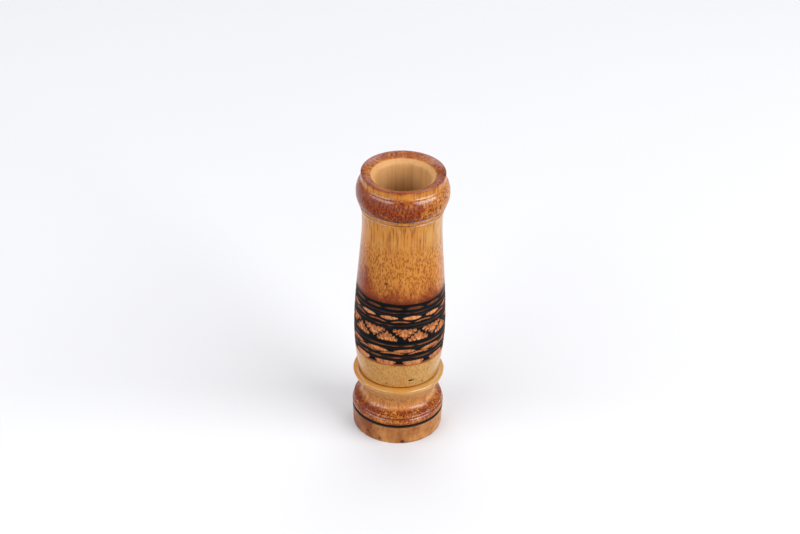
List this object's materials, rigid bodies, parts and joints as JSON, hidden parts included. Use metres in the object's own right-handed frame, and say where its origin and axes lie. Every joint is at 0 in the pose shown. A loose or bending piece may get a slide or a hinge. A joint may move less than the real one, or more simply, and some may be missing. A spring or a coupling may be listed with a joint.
{
  "type": "duck call",
  "caption": "Turned bamboo duck call standing on its exhaust end: open mouth with a rolled lip, bellied barrel with a burned carved band, waisted stopper, reed and tone board inside.",
  "frame": {"origin": "centre of the base ring's underside, where the call stands", "axes": "+Z along the call's axis, from the exhaust end at the base up to the mouth; the reed faces -Y"},
  "size_m": [0.0412, 0.0412, 0.13],
  "materials": {
    "bamboo": "glossy varnish",
    "bare_bamboo": "matte, waxed",
    "core_wood": "sanded",
    "board_wood": "sanded",
    "cork": "matte, granular",
    "cane": "shaved smooth"
  },
  "bodies": {
    "stopper": {"stopper_shell": "bamboo", "base_ring": "bare_bamboo", "core_plug": "core_wood", "tenon_cork": "cork"},
    "collar": {"collar_ring": "bamboo"},
    "barrel": {"barrel": "bamboo"},
    "board": {"tone_board": "board_wood"},
    "wedge": {"wedge_block": "cork"},
    "reed": {"reed": "cane"}
  },
  "joints": [
    {"name": "barrel_twist", "type": "hinge", "parent": "stopper", "child": "collar", "pos_m": [0, 0, 0.0286], "axis": [0, 0, 1], "continuous": true},
    {"name": "barrel_pull", "type": "slide", "parent": "collar", "child": "barrel", "axis": [0, 0, 1], "range_m": [0, 0.076]},
    {"name": "board_pull", "type": "slide", "parent": "stopper", "child": "board", "axis": [0, 0, 1], "range_m": [0, 0.02]},
    {"name": "wedge_pull", "type": "slide", "parent": "board", "child": "wedge", "axis": [0, 0, 1], "range_m": [0, 0.015]},
    {"name": "reed_flex", "type": "hinge", "parent": "wedge", "child": "reed", "pos_m": [0, 0.0001, 0.0723], "axis": [1, 0, 0], "range_deg": [-2.5, 1.5], "stiffness_Nm_per_rad": 0.005}
  ]
}
